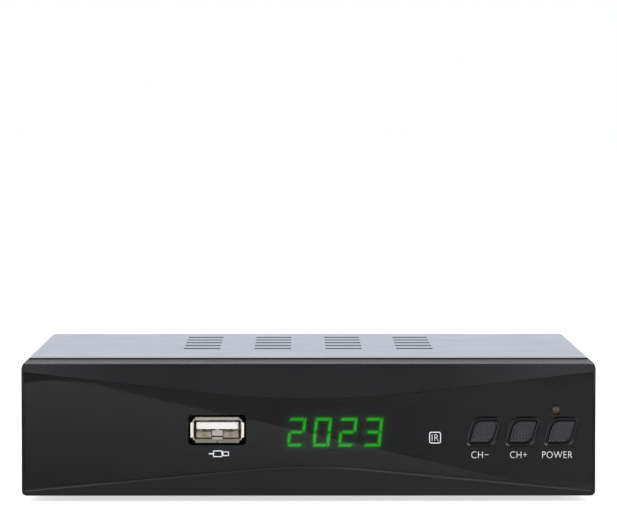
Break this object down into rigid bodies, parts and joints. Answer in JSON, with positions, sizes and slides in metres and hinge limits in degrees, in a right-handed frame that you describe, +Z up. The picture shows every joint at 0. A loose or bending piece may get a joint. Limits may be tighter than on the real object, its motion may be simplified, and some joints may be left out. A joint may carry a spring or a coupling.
{
  "type": "digital television receiver",
  "caption": "Low black digital television receiver: moulded front with clock display, data port and push keys, vented sheet cover, sockets at the rear.",
  "frame": {"origin": "on the ground under the feet, at the middle of the overall width and depth", "axes": "+X to the right seen from the front, +Y to the back, +Z up; the front faces -Y"},
  "size_m": [0.152, 0.0996, 0.038],
  "materials": {
    "moulded_black": "fine matte moulded texture",
    "smoked_window": "polished smoked acrylic",
    "cover_paint": "satin black paint on sheet steel",
    "zinc_sheet": "zinc-plated sheet steel",
    "foot_rubber": "matte rubber",
    "key_black": "knurled moulded plastic",
    "plunger_tan": "moulded plastic",
    "switch_black": "moulded plastic",
    "lamp_lens": "tinted clear epoxy",
    "tinned_wire": "tinned wire",
    "infrared_epoxy": "dark infrared epoxy",
    "display_black": "moulded plastic",
    "segment_lit": "lit green epoxy",
    "segment_unlit": "unlit epoxy",
    "spacer_white": "moulded plastic",
    "nickel_shell": "nickel-plated sheet",
    "tongue_white": "white moulded plastic",
    "gilt_contact": "gilt contact",
    "board_green": "green solder mask",
    "plated_steel": "plated steel",
    "header_cream": "moulded plastic",
    "ribbon_grey": "grey ribbon insulation",
    "tin_plate": "tin-plated sheet",
    "insulator_white": "white insulator",
    "socket_black": "black moulded plastic",
    "jack_orange": "orange moulded plastic",
    "chip_black": "chip moulding",
    "sink_aluminium": "extruded aluminium",
    "capacitor_sleeve": "dark blue sleeve",
    "coil_grey": "ferrite",
    "screw_black": "black oxide screw"
  },
  "bodies": {
    "case": {"front_panel": "moulded_black", "front_window": "smoked_window", "top_cover": "cover_paint", "base_tray": "zinc_sheet", "rubber_feet": "foot_rubber", "switch_housings": "switch_black", "power_lamp": "lamp_lens", "lamp_leads": "tinned_wire", "infrared_receiver": "infrared_epoxy", "infrared_leads": "tinned_wire", "display_housing": "display_black", "display_lit_segments": "segment_lit", "display_unlit_segments": "segment_unlit", "display_spacer": "spacer_white", "data_socket_shell": "nickel_shell", "data_socket_tongue": "tongue_white", "data_socket_contacts": "gilt_contact", "front_board": "board_green", "main_board": "board_green", "board_standoffs": "plated_steel", "front_header": "header_cream", "main_header": "header_cream", "ribbon_cable": "ribbon_grey", "tuner_can": "tin_plate", "antenna_in_shell": "nickel_shell", "antenna_in_insulator": "insulator_white", "antenna_in_contact": "gilt_contact", "antenna_out_shell": "nickel_shell", "antenna_out_insulator": "insulator_white", "antenna_out_pin": "gilt_contact", "video_socket_shell": "nickel_shell", "video_socket_tongue": "socket_black", "wide_socket_body": "socket_black", "wide_socket_contacts": "gilt_contact", "audio_jack_body": "jack_orange", "audio_jack_sleeve": "nickel_shell", "audio_jack_contact": "gilt_contact", "power_inlet_body": "socket_black", "power_inlet_pin": "nickel_shell", "processor": "chip_black", "heat_sink": "sink_aluminium", "memory_chips": "chip_black", "capacitors": "capacitor_sleeve", "power_coils": "coil_grey", "crystal": "tin_plate", "cover_screws": "screw_black", "panel_screws": "plated_steel", "main_board_screws": "plated_steel", "front_board_screws": "plated_steel"},
    "channel_down": {"channel_down_key": "key_black", "channel_down_plunger": "plunger_tan"},
    "channel_up": {"channel_up_key": "key_black", "channel_up_plunger": "plunger_tan"},
    "power": {"power_key": "key_black", "power_plunger": "plunger_tan"}
  },
  "joints": [
    {"name": "channel_down_press", "type": "slide", "parent": "case", "child": "channel_down", "axis": [0, 1, 0], "range_m": [0, 0.00035], "stiffness_N_per_m": 4000},
    {"name": "channel_up_press", "type": "slide", "parent": "case", "child": "channel_up", "axis": [0, 1, 0], "range_m": [0, 0.00035], "stiffness_N_per_m": 4000},
    {"name": "power_press", "type": "slide", "parent": "case", "child": "power", "axis": [0, 1, 0], "range_m": [0, 0.00035], "stiffness_N_per_m": 4000}
  ]
}
